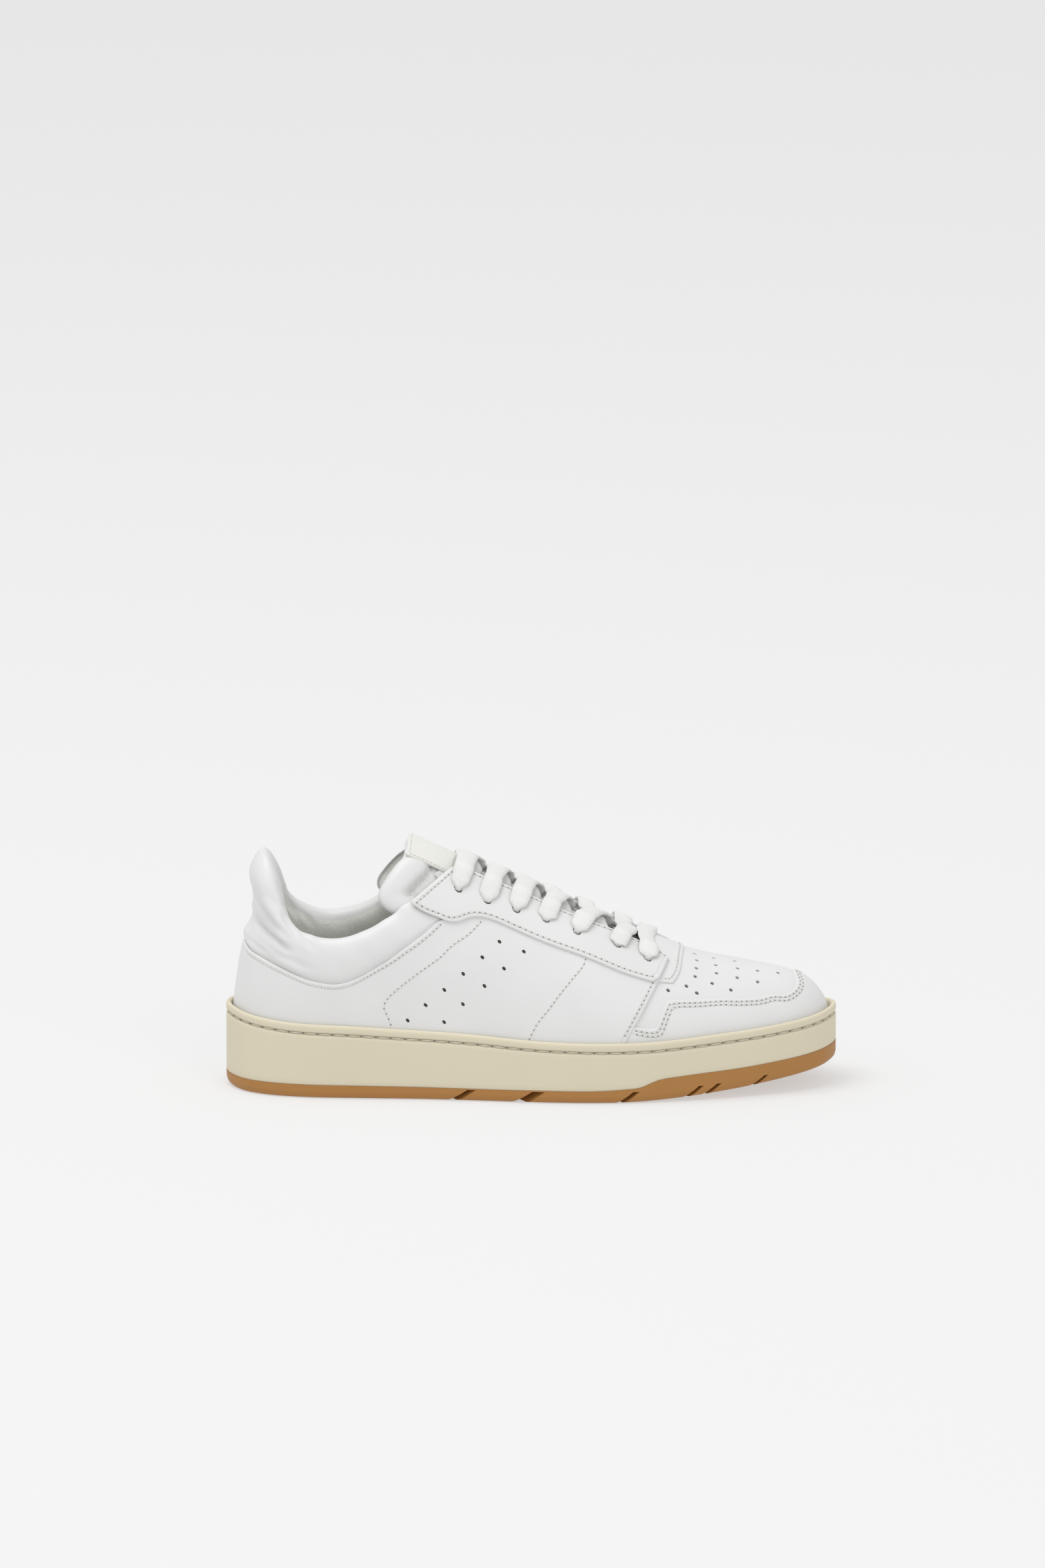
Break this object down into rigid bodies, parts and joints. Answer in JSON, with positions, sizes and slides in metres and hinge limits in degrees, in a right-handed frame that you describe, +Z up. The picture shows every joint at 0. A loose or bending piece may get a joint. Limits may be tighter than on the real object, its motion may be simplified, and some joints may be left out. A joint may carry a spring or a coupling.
{
  "type": "court shoe",
  "caption": "Low white leather court shoe for the right foot, with a padded collar and tongue, flat laces through punched eyelets, a cream cupsole and a gum outsole.",
  "frame": {"origin": "on the floor, midway along the shoe's length and width", "axes": "+X towards the toe, +Z up, -Y the outer (lateral) side of a right shoe"},
  "size_m": [0.3, 0.1019, 0.122],
  "materials": {
    "gum_rubber": "matte",
    "cream_rubber": "matte",
    "thread": "matte",
    "foam": "matte",
    "fibre_board": "matte",
    "sock_cloth": "matte",
    "lace_cotton": "matte",
    "label_cloth": "matte",
    "lining_cloth": "matte",
    "white_leather": "satin"
  },
  "bodies": {
    "shoe": {"collar_cover": "white_leather", "collar_foam": "foam", "cupsole": "cream_rubber", "eyestay_backing_lateral": "lining_cloth", "eyestay_backing_medial": "lining_cloth", "eyestay_lateral": "white_leather", "eyestay_medial": "white_leather", "footbed": "sock_cloth", "heel_counter": "fibre_board", "heel_seam_tape": "lining_cloth", "insole_board": "fibre_board", "lace": "lace_cotton", "midsole_wedge": "foam", "mudguard": "white_leather", "outsole": "gum_rubber", "quarter_lateral": "white_leather", "quarter_lining_lateral": "lining_cloth", "quarter_lining_medial": "lining_cloth", "quarter_medial": "white_leather", "sidewall_stitching": "thread", "throat_saddle": "white_leather", "toe_puff": "fibre_board", "vamp": "white_leather", "vamp_lining": "lining_cloth"},
    "tongue": {"tongue_shell": "white_leather", "tongue_foam": "foam", "tongue_lining": "lining_cloth", "tongue_label": "label_cloth"}
  },
  "joints": [
    {"name": "tongue_lift", "type": "hinge", "parent": "shoe", "child": "tongue", "pos_m": [0.072, 0, 0.055], "axis": [0, 1, 0], "range_deg": [-7, 0], "stiffness_Nm_per_rad": 0.6, "springref_deg": 6.88}
  ]
}
